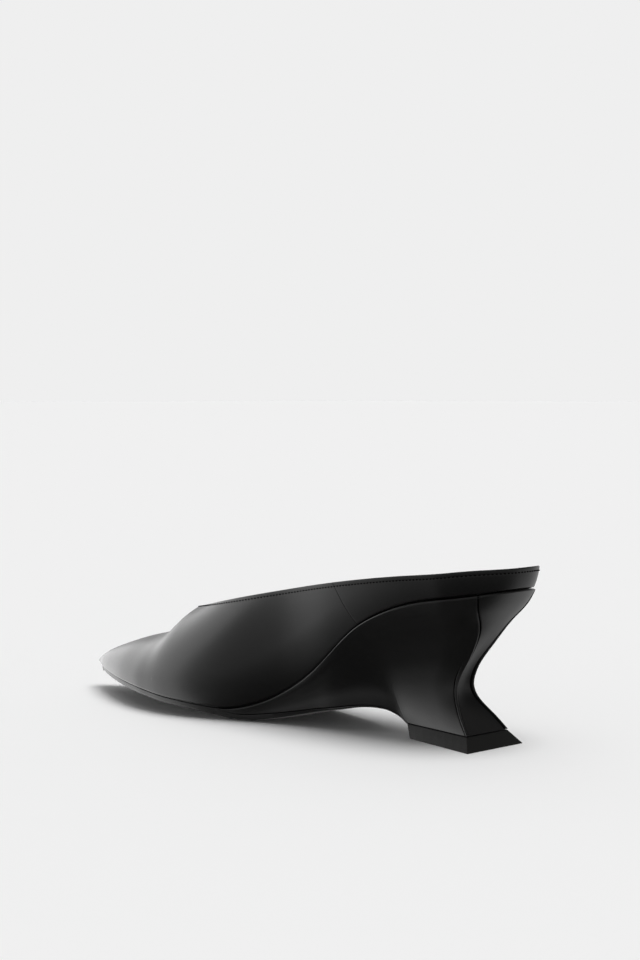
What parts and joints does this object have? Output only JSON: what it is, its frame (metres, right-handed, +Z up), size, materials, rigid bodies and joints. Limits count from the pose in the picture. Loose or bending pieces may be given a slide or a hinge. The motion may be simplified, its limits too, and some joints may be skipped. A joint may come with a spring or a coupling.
{
  "type": "mule pump, right shoe, sculpted wedge heel",
  "caption": "Backless pointed mule pump in black leather on a waisted, fishtail wedge heel with a separate top piece, standing empty on its sole",
  "frame": {"origin": "centre of the flat face of the top piece that stands on the floor", "axes": "+X points to the toe, +Y to the medial side of this right shoe, +Z up"},
  "size_m": [0.2661, 0.0783, 0.0777],
  "materials": {
    "upper_leather": "smooth black calf, soft satin gloss",
    "sock_leather": "plain black lining leather, matte",
    "wedge_leather": "smooth black calf wrapped over the heel, satin",
    "sole_leather": "black edge-dyed sole leather, matte",
    "top_piece_rubber": "hard black rubber, fine matte moulding"
  },
  "bodies": {
    "root": {"upper": "upper_leather", "insole": "sock_leather", "wedge_heel": "wedge_leather", "back_cover": "wedge_leather", "outsole": "sole_leather", "top_piece": "top_piece_rubber"}
  },
  "joints": []
}
